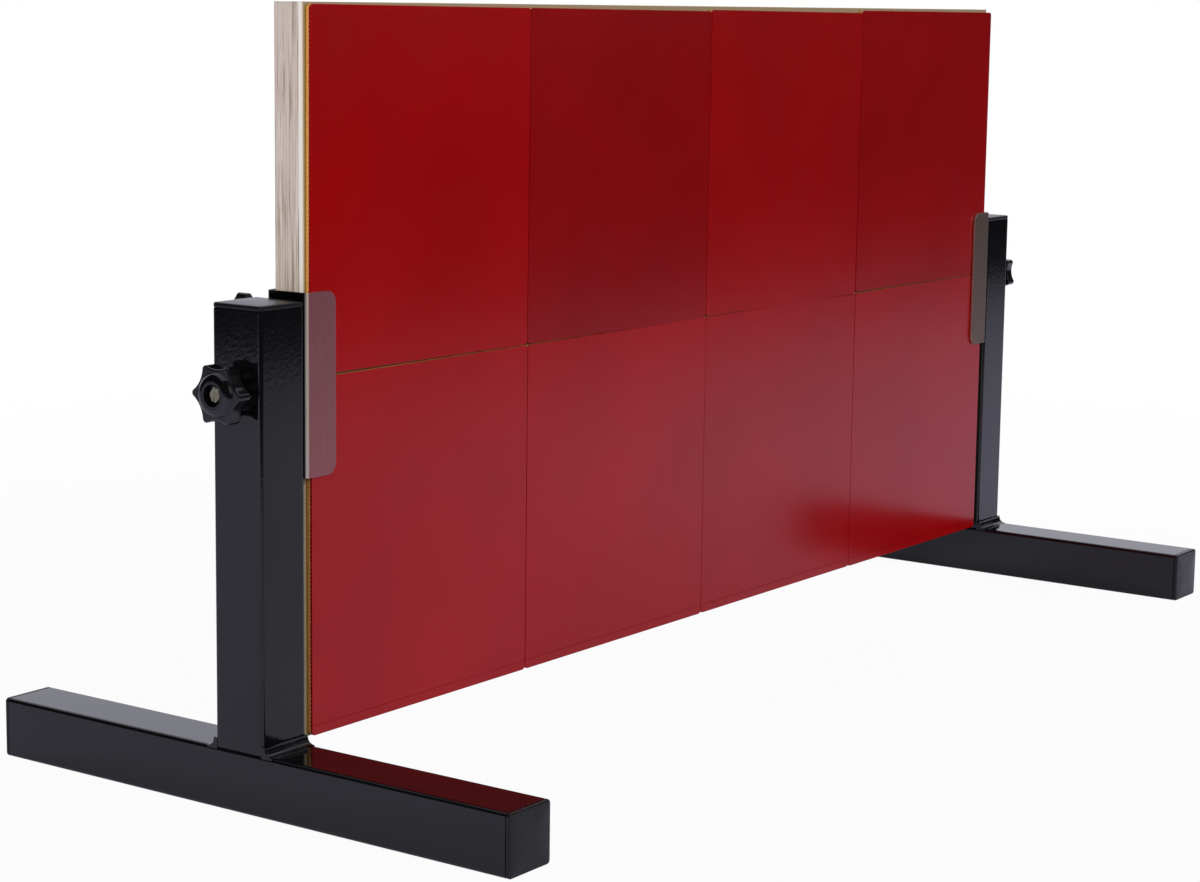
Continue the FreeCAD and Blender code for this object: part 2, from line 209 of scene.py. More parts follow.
def stoved_paint():
    """Black stoving enamel on steel tube: gloss, with orange peel about 2 mm across."""
    made = finish("black_stoving_enamel", Roughness=0.1, IOR=1.5, Base_Color=colour("#09090b"))
    where = place(made)
    peel = add(made, "TexNoise", {"Vector": where, "Scale": lumps(2.2)})
    skin = add(made, "Bump", {"Height": peel, "Distance": 0.03 * MM})
    patches = add(made, "TexNoise", {"Vector": where, "Scale": lumps(12), "Detail": 3})
    gloss = add(made, "MapRange", {"Value": patches, "To Min": 0.08, "To Max": 0.13})
    connect(made, Roughness=gloss, Normal=skin)
    return made


def moulded_polythene():
    """Black low-density polythene, moulded in a polished tool: shiny, slightly sunken skin."""
    made = finish("black_moulded_polythene", Roughness=0.28, IOR=1.51, Specular_IOR_Level=0.36,
                  Base_Color=colour("#0b0b0d"))
    where = place(made)
    patches = add(made, "TexNoise", {"Vector": where, "Scale": lumps(6), "Detail": 3})
    gloss = add(made, "MapRange", {"Value": patches, "To Min": 0.24, "To Max": 0.34})
    sunken = add(made, "TexNoise", {"Vector": where, "Scale": lumps(6), "Detail": 1})
    sinks = add(made, "Bump", {"Height": sunken, "Distance": 0.08 * MM})
    grain = add(made, "TexNoise", {"Vector": where, "Scale": lumps(0.9)})
    skin = add(made, "Bump", {"Height": grain, "Distance": 0.008 * MM, "Normal": sinks})
    connect(made, Roughness=gloss, Normal=skin)
    return made


def blackened_steel():
    """Blackened sheet steel. Its front flange is rubbed satin under a painted reflection, rosy on
    the left and brown on the right, and the cut edges round it are bare steel, painted pale as edge
    highlights."""
    made = finish("blackened_sheet_steel", Metallic=1.0, Roughness=0.36)
    lines = add(made, "TexNoise", {"Vector": place(made, (1, 1, 0.05)), "Scale": lumps(0.5),
                                   "Detail": 3})
    # Painted reflection: the front flanges are painted rosy on the left and brown on the right,
    # under the rubbed lines
    painted_reflection_tint = add(made, "ValToRGB", {"Fac": position(made, "X", -PAINTED_TINT_REACH, PAINTED_TINT_REACH)},
               stops=((0.0, "#c17f82"), (1.0, "#827060")))
    rub = add(made, "ValToRGB", {"Fac": lines}, stops=((0.3, "#f1f1f1"), (0.7, "#ffffff")))
    rubbed = add(made, "Mix", {FACTOR: 1.0, FIRST: painted_reflection_tint, SECOND: rub}, data_type="RGBA",
                 blend_type="MULTIPLY").outputs[MIXED]
    # Painted highlight: faces turned away from the front, the bevels round the front flange, are
    # painted pale as lit edges on bare steel
    facing = add(made, "TexCoord").outputs["Normal"]
    forward = add(made, "SeparateXYZ", {"Vector": facing}).outputs["Y"]
    flat_not_highlit = add(made, "MapRange", {"Value": forward, "From Min": -0.8, "From Max": -0.97})
    front = add(made, "Mix", {FACTOR: flat_not_highlit, FIRST: colour("#d9cdbd"), SECOND: rubbed},
                data_type="RGBA").outputs[MIXED]
    behind = position(made, "Y", FLANGE_FRONT + 1.1 * MM, FLANGE_FRONT + 1.7 * MM)
    steel = add(made, "Mix", {FACTOR: behind, FIRST: front, SECOND: colour("#3a3739")},
                data_type="RGBA").outputs[MIXED]
    gloss = add(made, "MapRange", {"Value": lines, "To Min": 0.34, "To Max": 0.4})
    scratches = add(made, "Bump", {"Height": lines, "Distance": 0.002 * MM})
    connect(made, Base_Color=steel, Roughness=gloss, Normal=scratches)
    return made


def glossy_phenolic():
    """Black phenolic moulding for hand knobs: deep gloss, slightly uneven skin."""
    made = finish("black_phenolic_moulding", Roughness=0.15, IOR=1.55,
                  Base_Color=colour("#060608"))
    where = place(made)
    patches = add(made, "TexNoise", {"Vector": where, "Scale": lumps(4), "Detail": 3})
    gloss = add(made, "MapRange", {"Value": patches, "To Min": 0.12, "To Max": 0.2})
    uneven = add(made, "TexNoise", {"Vector": where, "Scale": lumps(1.2)})
    skin = add(made, "Bump", {"Height": uneven, "Distance": 0.01 * MM})
    connect(made, Roughness=gloss, Normal=skin)
    return made


def zinc_plate():
    """Steel with yellow-passivated zinc: soft metal shine, straw to greenish patches."""
    made = finish("yellow_zinc_plated_steel", Metallic=1.0, Roughness=0.35)
    where = place(made)
    patches = add(made, "TexNoise", {"Vector": where, "Scale": lumps(2.5), "Detail": 3})
    shade = add(made, "ValToRGB", {"Fac": patches},
                stops=((0.3, "#a9a184"), (0.55, "#c2bd9f"), (0.75, "#9fa187")))
    grain = add(made, "TexNoise", {"Vector": where, "Scale": lumps(0.8), "Detail": 3})
    gloss = add(made, "MapRange", {"Value": grain, "To Min": 0.28, "To Max": 0.45})
    connect(made, Base_Color=shade, Roughness=gloss)
    return made


def turned_brass():
    """Brass bush off a lathe: fine rings round its axis."""
    made = finish("turned_brass", Metallic=1.0, Roughness=0.3)
    rings = add(made, "TexNoise", {"Vector": place(made, (1, 0.05, 0.05)), "Scale": lumps(0.3)})
    shade = add(made, "ValToRGB", {"Fac": rings}, stops=((0.3, "#c9a45a"), (0.7, "#dcbb74")))
    grooves = add(made, "Bump", {"Height": rings, "Distance": 0.006 * MM})
    connect(made, Base_Color=shade, Normal=grooves)
    return made


PAINT = stoved_paint()
CAP = moulded_polythene()
STEEL = blackened_steel()
KNOB = glossy_phenolic()
ZINC = zinc_plate()
BRASS = turned_brass()
SPONGE = orange_sponge()
OAK_UPRIGHT = oak_decor("oak_decor_upright", (1, 1, 0.02))
OAK_ALONG = oak_decor("oak_decor_along", (0.02, 1, 1))
# Each sheet's red, lighter or darker sheet by sheet, and the deeper red that clouds it
REDS = {
    ("upper", 1): ("#8e0104", "#850104"),
    ("upper", 2): ("#7e0104", "#740104"),
    ("upper", 3): ("#8a0104", "#800104"),
    ("upper", 4): ("#820104", "#790104"),
    ("lower", 1): ("#8f0104", "#860104"),
    ("lower", 2): ("#8f0104", "#860104"),
    ("lower", 3): ("#8c0104", "#830104"),
    ("lower", 4): ("#8c0104", "#830104"),
}
RUBBERS = {sheet: smooth_rubber("smooth_rubber_%s_%d" % sheet, *reds)
           for sheet, reds in REDS.items()}


def wear(piece, material):
    piece.data.materials.clear()
    piece.data.materials.append(material)


def node_finish(name):
    """The finish of a CAD node, by what the piece is."""
    if name.startswith("topsheet"):
        row, column = name.split("_")[1:]
        return RUBBERS[row, int(column)]
    if name.startswith("sponge"):
        return SPONGE
    if name in ("edge_band_left", "edge_band_right"):
        return OAK_UPRIGHT
    if name.startswith(("edge_band", "panel")):
        return OAK_ALONG
    for ending, material in (("_tube", PAINT), ("_beads", PAINT), ("_cap", CAP),
                             ("_bracket", STEEL), ("_knob", KNOB), ("_bush", BRASS)):
        if name.endswith(ending):
            return material
    return ZINC


for name, node in frame["nodes"].items():
    wear(node, node_finish(name))


# Modelling by hand, on faces and edges that are picked by their place

def along(edge, axis):
    """True for an edge that runs along this axis."""
    direction = (edge.verts[1].co - edge.verts[0].co).normalized()
    return abs(direction[axis]) > 0.999


def middle(element):
    """Centre of an edge or a face."""
    return sum((vertex.co for vertex in element.verts), Vector()) / len(element.verts)


def near(a, b):
    return abs(a - b) < 0.01 * MM


def axis_of(node):
    """Centre of a CAD node's box, which a round piece's axis passes through."""
    low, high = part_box(node)
    return (low + high) / 2


def choose(piece):
    bpy.ops.object.select_all(action="DESELECT")
    piece.select_set(True)
    bpy.context.view_layer.objects.active = piece


def new_piece(name):
    """The object that an operator has just added, with its place in its mesh."""
    bpy.ops.object.transform_apply(location=True, rotation=True, scale=True)
    made = bpy.context.active_object
    made.name = name
    made.data.name = name
    return made


def block(name, low, high):
    """A box between two corners, to be shaped further."""
    size = [b - a for a, b in zip(low, high)]
    centre = [(a + b) / 2 for a, b in zip(low, high)]
    bpy.ops.object.select_all(action="DESELECT")
    bpy.ops.mesh.primitive_cube_add(size=1, location=centre, scale=size)
    return new_piece(name)


def round_bar(name, radius, start, end, sides=48):
    """A cylinder between two points on one line."""
    path = Vector(end) - Vector(start)
    turn = path.to_track_quat("Z", "Y").to_euler()
    bpy.ops.object.select_all(action="DESELECT")
    bpy.ops.mesh.primitive_cylinder_add(vertices=sides, radius=radius, depth=path.length,
                                        location=Vector(start) + path / 2, rotation=turn)
    return new_piece(name)


def edit(piece, kind, test, operator, **settings):
    """Runs an edit-mode operator on the vertices, edges or faces that pass the test."""
    choose(piece)
    bpy.ops.object.mode_set(mode="EDIT")
    bpy.ops.mesh.select_mode(type=kind)
    bpy.ops.mesh.select_all(action="DESELECT")
    shape = bmesh.from_edit_mesh(piece.data)
    elements = {"VERT": shape.verts, "EDGE": shape.edges, "FACE": shape.faces}[kind]
    for element in elements:
        if test(element):
            element.select_set(True)
    shape.select_flush_mode()
    bmesh.update_edit_mesh(piece.data)
    operator(**settings)
    bpy.ops.object.mode_set(mode="OBJECT")


def everything(element):
    return True


def round_off(piece, test, offset, segments=8, **settings):
    """Bevels the edges that pass the test."""
    edit(piece, "EDGE", test, bpy.ops.mesh.bevel, offset=offset, segments=segments,
         affect="EDGES", **settings)


def extrude(piece, test, move):
    """Pulls the faces that pass the test out by this vector."""
    edit(piece, "FACE", test, bpy.ops.mesh.extrude_region_move,
         TRANSFORM_OT_translate={"value": move})


def apply(piece, kind, **settings):
    """Adds a modifier and applies it."""
    choose(piece)
    modifier = piece.modifiers.new(kind.lower(), kind)
    for setting, value in settings.items():
        setattr(modifier, setting, value)
    bpy.ops.object.modifier_apply(modifier=modifier.name)


def cut(piece, tool):
    """Takes the tool's shape out of the piece."""
    apply(piece, "BOOLEAN", object=tool, operation="DIFFERENCE", solver="EXACT")
    bpy.data.objects.remove(tool)


def join(name, *pieces):
    choose(pieces[0])
    for piece in pieces:
        piece.select_set(True)
    bpy.ops.object.join()
    pieces[0].name = name
    return pieces[0]


def twin(piece, name, matrix):
    """A copy with its own mesh, moved by the matrix; a mirrored one is turned outside out."""
    made = piece.copy()
    made.data = piece.data.copy()
    made.name = name
    made.data.name = name
    bpy.context.scene.collection.objects.link(made)
    made.data.transform(matrix)
    if matrix.determinant() < 0:
        made.data.flip_normals()
    return made


def break_edges(piece, width):
    """Rounds every sharp edge a little."""
    apply(piece, "BEVEL", width=width, segments=2, limit_method="ANGLE",
          angle_limit=math.radians(40))


def settle(piece, material, *nodes):
    """The piece stands for these CAD nodes: it rides on their body."""
    wear(piece, material)
    choose(piece)
    bpy.ops.object.shade_smooth_by_angle(angle=math.radians(35))
    apply(piece, "WEIGHTED_NORMAL", keep_sharp=True)
    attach(piece, frame["nodes"][nodes[0]]["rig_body"])
    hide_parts(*nodes)


# Rubber sheets

SHEET_CORNER = 2.0 * MM
SKIN = 0.7 * MM
SKIN_EDGE = 0.12 * MM
MOULD_LINE = 4.9 * MM
MOULD_GROOVE = 0.6 * MM
PIMPLE_RADIUS = 0.8 * MM
PIMPLE_HEIGHT = 0.8 * MM
PIMPLE_TAPER = 0.8
PIMPLE_PITCH = 2.05 * MM
# How far the pimples stand inside the cut edge, and how deep the open rim behind the skin is
PIMPLE_INSET = 0.03 * MM
RIM_DEPTH = 2.1 * MM
SPONGE_HOLLOW = 0.3 * MM
# How each sheet was laid, in millimetres along X and Z and in degrees, against its CAD place
LAID = {
    ("upper", 1): (0.0, 0.6, 0.32),
    ("upper", 2): (0.0, -0.2, 0.30),
    ("upper", 3): (0.1, -0.4, 0.33),
    ("upper", 4): (0.3, 0.3, 0.16),
    ("lower", 1): (0.0, 0.1, 0.05),
    ("lower", 2): (0.1, 0.0, 0.03),
    ("lower", 3): (0.0, 0.1, -0.03),
    ("lower", 4): (0.1, 0.0, 0.0),
}


def pimple_row(start, along_x, room):
    """A row of tapered pimples between the skin and the sponge, from one corner on."""
    back = start.y + PIMPLE_HEIGHT
    row = round_bar("row", PIMPLE_RADIUS, start, (start.x, back, start.z), sides=8)
    edit(row, "FACE", lambda f: f.normal.y > 0.9, bpy.ops.transform.resize,
         value=(PIMPLE_TAPER, 1, PIMPLE_TAPER), center_override=(start.x, back, start.z))
    count = int(room / PIMPLE_PITCH) + 1
    step = room / (count - 1)
    offset = (step, 0, 0) if along_x else (0, 0, step)
    apply(row, "ARRAY", count=count, use_relative_offset=False, use_constant_offset=True,
          constant_offset_displace=offset)
    return row


def topsheet():
    """Smooth skin on pimples; only the pimples along the cut edges show, so only those are made."""
    low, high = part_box("topsheet_lower_1")
    back = low.y + SKIN
    sheet = block("topsheet", low, (high.x, back, high.z))
    round_off(sheet, lambda e: along(e, Y), SHEET_CORNER, segments=6)
    round_off(sheet, lambda e: near(middle(e).y, low.y), SKIN_EDGE, segments=2)
    for height in (MOULD_LINE - MOULD_GROOVE / 2, MOULD_LINE + MOULD_GROOVE / 2):
        edit(sheet, "FACE", lambda f: f.normal.y < -0.9, bpy.ops.mesh.bisect,
             plane_co=(0, 0, low.z + height), plane_no=(0, 0, 1))
    extrude(sheet, lambda f: f.normal.y < -0.9 and near(middle(f).z, low.z + MOULD_LINE),
            (0, MOULD_GROOVE / 2, 0))
    edit(sheet, "FACE", lambda f: f.normal.y > 0.9, bpy.ops.mesh.inset, thickness=RIM_DEPTH)
    extrude(sheet, lambda f: f.normal.y > 0.9 and len(f.verts) > 4, (0, high.y - low.y - SKIN, 0))
    edge = PIMPLE_RADIUS + PIMPLE_INSET
    corner = SHEET_CORNER + PIMPLE_RADIUS / 2
    width = high.x - low.x - 2 * corner
    height = high.z - low.z - 2 * corner
    rows = [
        pimple_row(Vector((low.x + corner, back, low.z + edge)), True, width),
        pimple_row(Vector((low.x + corner, back, high.z - edge)), True, width),
        pimple_row(Vector((low.x + edge, back, low.z + corner)), False, height),
        pimple_row(Vector((high.x - edge, back, low.z + corner)), False, height),
    ]
    return join("topsheet", sheet, *rows)


def sponge():
    """Sponge sheet with the same outline, its cut edges a little hollow."""
    low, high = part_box("sponge_lower_1")
    sheet = block("sponge", low, high)
    round_off(sheet, lambda e: along(e, Y), SHEET_CORNER, segments=6)
    edit(sheet, "EDGE", lambda e: along(e, Y), bpy.ops.mesh.subdivide, number_cuts=2)
    waist = (high.x - low.x - SPONGE_HOLLOW) / (high.x - low.x)
    edit(sheet, "VERT", lambda v: not near(v.co.y, low.y) and not near(v.co.y, high.y),
         bpy.ops.transform.resize, value=(waist, 1, waist), center_override=(low + high) / 2)
    return sheet


def rubber_sheets():
    """Eight sheets, each laid by hand, with the plain moulded edge outwards."""
    models = {"topsheet": topsheet(), "sponge": sponge()}
    for kind, model in models.items():
        home = Matrix.Translation(-axis_of(kind + "_lower_1"))
        for (row, column), (shift_x, shift_z, slope) in LAID.items():
            node = "%s_%s_%d" % (kind, row, column)
            centre = axis_of(node) + Vector((shift_x, 0, shift_z)) * MM
            turn = math.radians(slope + (180 if row == "upper" else 0))
            matrix = Matrix.Translation(centre) @ Matrix.Rotation(turn, 4, "Y") @ home
            sheet = twin(model, "laid_" + node, matrix)
            settle(sheet, SPONGE if kind == "sponge" else RUBBERS[row, column], node)
        bpy.data.objects.remove(model)


# Brackets

BRACKET_SHEET = 1.5 * MM
BRACKET_BEND = 2.7 * MM
BRACKET_CORNER = 5.5 * MM
BRACKET_EDGE = 0.35 * MM
PIVOT_HOLE_RADIUS = 4.1 * MM
SCREW_HOLE_RADIUS = 3.3 * MM
# How far outside the web a drill starts
DRILL_START = 0.7 * MM


def brackets():
    """Folded U of sheet steel with punched holes; the right one is its mirror image."""
    low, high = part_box("left_bracket")
    sheet = block("left_folded_bracket", low, high)
    round_off(sheet, lambda e: along(e, Z) and near(middle(e).x, low.x), BRACKET_BEND)
    edit(sheet, "FACE", lambda f: abs(f.normal.z) > 0.9 or f.normal.x > 0.9,
         bpy.ops.mesh.delete, type="FACE")
    apply(sheet, "SOLIDIFY", thickness=BRACKET_SHEET, offset=-1)
    round_off(sheet, lambda e: along(e, Y) and near(middle(e).x, high.x), BRACKET_CORNER)
    pivot = axis_of("left_pivot_bolt")
    cut(sheet, round_bar("drill", PIVOT_HOLE_RADIUS, (low.x - DRILL_START, 0, pivot.z),
                         (low.x + BRACKET_BEND, 0, pivot.z)))
    for row in ROWS:
        screw = axis_of("left_%s_clamp_screw" % row)
        cut(sheet, round_bar("drill", SCREW_HOLE_RADIUS, (screw.x, high.y - BRACKET_BEND, screw.z),
                             (screw.x, high.y + BRACKET_BEND, screw.z)))
    break_edges(sheet, BRACKET_EDGE)
    right = twin(sheet, "right_folded_bracket", MIRROR)
    settle(sheet, STEEL, "left_bracket")
    settle(right, STEEL, "right_bracket")


# Stands

TUBE_CORNER = 2.0 * MM
TUBE_WALL = 1.5 * MM
TUBE_EDGE = 0.3 * MM
POST_HOLE_RADIUS = 4.05 * MM
CAP_FLANGE = 3.2 * MM
CAP_EDGE = 1.0 * MM
CAP_GROOVE = 0.75 * MM
CAP_CROWN = 0.65 * MM
# The crown's steps, which add up to its height: how much narrower each gets, and its rise
CAP_STEPS = ((0.82, 0.28 * MM), (0.68, 0.22 * MM), (0.45, 0.15 * MM))
PLUG_DEPTH = 12.0 * MM
PLUG_WIDTH = 24.6 * MM
RIB_COUNT = 3
RIB_WIDTH = 26.8 * MM
RIB_PITCH = 3.4 * MM
RIB_HEIGHT = 0.8 * MM
RIB_CORNER = 0.6 * MM
WELD_ROOT = 1.0 * MM
WELD_TOE = 0.1 * MM
WELD_RIPPLES = 17
WELD_RIPPLE_RISE = 0.12 * MM
WELD_UNEVENNESS = 0.35 * MM
WELD_LUMPS = 4.0 * MM
# Bevel profile that leaves a bead concave; one of 0.5 would be round
WELD_PROFILE = 0.07


def square_tube(name, node, axis):
    """The CAD tube's outer box, its long edges rounded, opened at the ends and given a wall."""
    tube = block(name, *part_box(node))
    round_off(tube, lambda e: along(e, axis), TUBE_CORNER)
    edit(tube, "FACE", lambda f: abs(f.normal[axis]) > 0.9, bpy.ops.mesh.delete, type="FACE")
    apply(tube, "SOLIDIFY", thickness=TUBE_WALL, offset=-1)
    return tube


def upright_tube():
    """The post, drilled through both walls for the pivot bolt."""
    tube = square_tube("post", "left_post_tube", Z)
    low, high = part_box("left_post_tube")
    pivot = axis_of("left_pivot_bolt")
    cut(tube, round_bar("drill", POST_HOLE_RADIUS, (low.x - TUBE_WALL, pivot.y, pivot.z),
                        (high.x + TUBE_WALL, pivot.y, pivot.z)))
    return tube


def slab(name, width, bottom, top, corner):
    """Square plate with rounded corners, centred on the Z axis."""
    half = width / 2
    plate = block(name, (-half, -half, bottom), (half, half, top))
    round_off(plate, lambda e: along(e, Z), corner)
    return plate


def end_cap():
    """Push-in cap with its crowned outer face at the origin: a flange over a ribbed plug."""
    low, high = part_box("left_post_cap")
    top = -CAP_CROWN
    flange = slab("cap", high.x - low.x, -CAP_FLANGE, top, TUBE_CORNER)
    round_off(flange, lambda e: near(middle(e).z, top), CAP_EDGE, segments=5)
    round_off(flange, lambda e: near(middle(e).z, -CAP_FLANGE), CAP_GROOVE, segments=3)
    for share, rise in CAP_STEPS:
        extrude(flange, lambda f: near(middle(f).z, top) and len(f.verts) > 4, (0, 0, rise))
        top += rise
        edit(flange, "VERT", lambda v: near(v.co.z, top), bpy.ops.transform.resize,
             value=(share, share, 1), center_override=(0, 0, top))
    bottom = -CAP_FLANGE - PLUG_DEPTH
    plug = slab("plug", PLUG_WIDTH, bottom, -CAP_FLANGE, TUBE_CORNER)
    heights = [bottom + RIB_PITCH * i for i in range(RIB_COUNT)]
    ribs = [slab("rib", RIB_WIDTH, height, height + RIB_HEIGHT, RIB_CORNER) for height in heights]
    return join("cap", flange, plug, *ribs)


def weld_bead():
    """One concave bead of overlapping ripples, over the front of the left post's foot."""
    low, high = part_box("left_post_weld_beads")
    post_low, post_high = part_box("left_post_tube")
    leg = min(post_low.y - low.y, high.z - post_low.z)
    pitch = (high.x - low.x) / WELD_RIPPLES
    bead = block("weld_bead", (low.x, low.y, post_low.z - WELD_ROOT),
                 (low.x + pitch, post_low.y + WELD_ROOT, high.z))
    round_off(bead, lambda e: (along(e, X) and near(middle(e).y, low.y)
                               and near(middle(e).z, high.z)),
              leg - WELD_TOE, profile=WELD_PROFILE)
    edit(bead, "FACE", lambda f: abs(f.normal.x) > 0.9, bpy.ops.mesh.delete, type="FACE")
    edit(bead, "EDGE", lambda e: along(e, X), bpy.ops.mesh.subdivide, number_cuts=3)
    edit(bead, "VERT", lambda v: near(v.co.x, low.x + pitch / 2) and v.co.z > post_low.z,
         bpy.ops.transform.translate, value=(0, -WELD_RIPPLE_RISE, WELD_RIPPLE_RISE))
    apply(bead, "ARRAY", count=WELD_RIPPLES, use_relative_offset=False, use_constant_offset=True,
          constant_offset_displace=(pitch, 0, 0), use_merge_vertices=True)
    edit(bead, "EDGE", lambda e: e.is_boundary, bpy.ops.mesh.fill_holes, sides=0)
    clouds = bpy.data.textures.new("weld_unevenness", "CLOUDS")
    clouds.noise_scale = WELD_LUMPS
    apply(bead, "DISPLACE", texture=clouds, texture_coords="GLOBAL", strength=WELD_UNEVENNESS,
          mid_level=0.55)
    return bead


def stands():
    """Two stands of square tube with their caps and welds; the right one is a mirror image."""
    foot = square_tube("foot", "left_foot_tube", Y)
    post = upright_tube()
    for tube in (foot, post):
        break_edges(tube, TUBE_EDGE)
    cap = end_cap()
    front_bead = weld_bead()
    centre = axis_of("left_post_tube")
    about_post = Matrix.Translation((centre.x, centre.y, 0))
    half_turn = about_post @ Matrix.Rotation(math.pi, 4, "Z") @ about_post.inverted()
    rear_bead = twin(front_bead, "rear_bead", half_turn)
    beads = join("weld_beads", front_bead, rear_bead)
    for side in SIDES:
        matrix = Matrix.Identity(4) if side == "left" else MIRROR
        settle(twin(foot, side + "_foot", matrix), PAINT, side + "_foot_tube")
        settle(twin(post, side + "_post", matrix), PAINT, side + "_post_tube")
        settle(twin(beads, side + "_weld_beads", matrix), PAINT, side + "_post_weld_beads")
        for end, axis, outwards in (("post", Z, 1), ("foot_front", Y, -1), ("foot_rear", Y, 1)):
            node = "%s_%s_cap" % (side, end)
            low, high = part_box(node)
            outer = (low + high) / 2
            outer[axis] = high[axis] if outwards > 0 else low[axis]
            facing = Vector((0, 0, 0))
            facing[axis] = outwards
            turn = facing.to_track_quat("Z", "X").to_matrix().to_4x4()
            pushed_in = twin(cap, "%s_%s_end_cap" % (side, end), Matrix.Translation(outer) @ turn)
            settle(pushed_in, CAP, node)
    for model in (foot, post, beads, cap):
        bpy.data.objects.remove(model)


# Threads

THREAD_STEPS = 28
# The groove's depth and the chamfered tip's length, as shares of the pitch
THREAD_DEPTH = 0.61
THREAD_TIP = 0.7
TIP_TAPER = 0.82
SCREW_RADIUS = 2.98 * MM
SCREW_PITCH = 1.0 * MM
BOLT_RADIUS = 3.98 * MM
BOLT_PITCH = 1.25 * MM
BOLT_SHANK_RADIUS = 3.9 * MM
BOLT_HEAD_HEIGHT = 2.4 * MM
BOLT_HEAD_EDGE = 0.5 * MM
BOLT_KEY_WIDTH = 5.0 * MM
BOLT_KEY_DEPTH = 1.9 * MM


def thread(name, radius, pitch, start, end):
    """A threaded rod on the Z axis between two heights, its ends cut square and chamfered."""
    depth = THREAD_DEPTH * pitch
    tip = THREAD_TIP * pitch
    turns = math.ceil((end - start) / pitch) + 3
    bpy.ops.object.select_all(action="DESELECT")
    bpy.ops.mesh.primitive_circle_add(vertices=4, radius=1, rotation=(math.pi / 2, 0, 0),
                                      location=(radius - depth, 0, start - 1.5 * pitch))
    bpy.context.active_object.scale = (depth, pitch / 2, 1)
    rod = new_piece(name)
    edit(rod, "VERT", lambda v: v.co.x < radius - 1.5 * depth, bpy.ops.mesh.delete, type="VERT")
    apply(rod, "SCREW", axis="Z", angle=2 * math.pi, screw_offset=pitch, iterations=turns,
          steps=THREAD_STEPS, render_steps=THREAD_STEPS, use_merge_vertices=True,
          merge_threshold=pitch / 1000)
    edit(rod, "FACE", everything, bpy.ops.mesh.bisect, plane_co=(0, 0, start + tip),
         plane_no=(0, 0, 1), use_fill=True, clear_inner=True)
    edit(rod, "FACE", everything, bpy.ops.mesh.bisect, plane_co=(0, 0, end - tip),
         plane_no=(0, 0, 1), use_fill=True, clear_outer=True)
    edit(rod, "FACE", everything, bpy.ops.mesh.normals_make_consistent, inside=False)
    for height, push in ((start + tip, -tip), (end - tip, tip)):
        extrude(rod, lambda f: near(middle(f).z, height) and abs(f.normal.z) > 0.9, (0, 0, push))
        edit(rod, "VERT", lambda v: near(v.co.z, height + push), bpy.ops.transform.resize,
             value=(TIP_TAPER, TIP_TAPER, 1), center_override=(0, 0, height + push))
    return rod


def pivot_bolts():
    """Flat socket heads inside the brackets, with threads as far as the knobs."""
    low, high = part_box("left_pivot_bolt")
    length = high.x - low.x
    head = round_bar("head", (high.z - low.z) / 2, (0, 0, 0), (0, 0, BOLT_HEAD_HEIGHT))
    round_off(head, lambda e: near(middle(e).z, 0), BOLT_HEAD_EDGE, segments=3)
    cut(head, round_bar("key", BOLT_KEY_WIDTH / math.sqrt(3), (0, 0, -BOLT_HEAD_HEIGHT),
                        (0, 0, BOLT_KEY_DEPTH), sides=6))
    shank_end = length / 2
    shank = round_bar("shank", BOLT_SHANK_RADIUS, (0, 0, BOLT_HEAD_HEIGHT / 2),
                      (0, 0, shank_end), sides=32)
    threads = thread("thread", BOLT_RADIUS, BOLT_PITCH, shank_end - 1 * MM, length)
    bolt = join("bolt", head, shank, threads)
    centre = axis_of("left_pivot_bolt")
    turn = Matrix.Rotation(math.radians(-90), 4, "Y")
    at_post = Matrix.Translation((high.x, centre.y, centre.z)) @ turn
    settle(twin(bolt, "left_threaded_bolt", at_post), ZINC, "left_pivot_bolt")
    settle(twin(bolt, "right_threaded_bolt", MIRROR @ at_post), ZINC, "right_pivot_bolt")
    bpy.data.objects.remove(bolt)


def clamp_screws():
    """Fully threaded screws behind the brackets."""
    low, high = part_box("left_lower_clamp_screw")
    model = thread("screw", SCREW_RADIUS, SCREW_PITCH, 0, high.y - low.y)
    turn = Matrix.Rotation(math.radians(-90), 4, "X")
    for side in SIDES:
        for row in ROWS:
            node = "%s_%s_clamp_screw" % (side, row)
            centre = axis_of(node)
            start = Matrix.Translation((centre.x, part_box(node)[0].y, centre.z)) @ turn
            settle(twin(model, node + "_threaded", start), ZINC, node)
    bpy.data.objects.remove(model)


rubber_sheets()
brackets()
stands()
pivot_bolts()
clamp_screws()


# Studio

# Softboxes: place, aim, size, watts, and whether a gloss shows them
SOFTBOXES = {
    "key_softbox": ((-0.9, -1.9, 1.1), (0, 0, 0.15), 1.0, 31, True),
    "left_softbox": ((-1.9, 0.3, 0.6), (-0.3, 0, 0.2), 0.8, 12, False),
    "rear_softbox": ((0.9, 2.1, 1.1), (0, 0, 0.2), 1.0, 20, False),
    "right_softbox": ((1.5, -1.2, 0.9), (0.5, -0.1, 0.1), 0.6, 7, True),
}
# Black flags, out of the camera's sight, darken what the upright faces mirror: width, middle,
# and turn in degrees
FLAGS = {
    "front_flag": (5.0, (2.4, -0.92, 1.2), 6),
    "rear_flag": (3.0, (-1.57, 1.11, 1.2), 47),
    "left_flag": (2.7, (-1.35, -0.54, 1.2), -23.4),
}
FLAG_HEIGHT = 2.4
FLOOR_SIZE = 12


def lamp(name, spot, aim, size, watts, mirrored):
    """A square softbox, aimed at a point."""
    light = bpy.data.lights.new(name, "AREA")
    light.shape = "RECTANGLE"
    light.size = size
    light.size_y = size
    light.energy = watts
    made = bpy.data.objects.new(name, light)
    bpy.context.scene.collection.objects.link(made)
    made.location = spot
    made.rotation_euler = (Vector(aim) - Vector(spot)).to_track_quat("-Z", "Y").to_euler()
    made.visible_glossy = mirrored


def flat_card(name, size, location, turn):
    bpy.ops.object.select_all(action="DESELECT")
    bpy.ops.mesh.primitive_plane_add(size=1, location=location, rotation=turn)
    made = bpy.context.active_object
    made.name = name
    made.scale = (*size, 1)
    bpy.ops.object.transform_apply(location=True, rotation=True, scale=True)
    return made


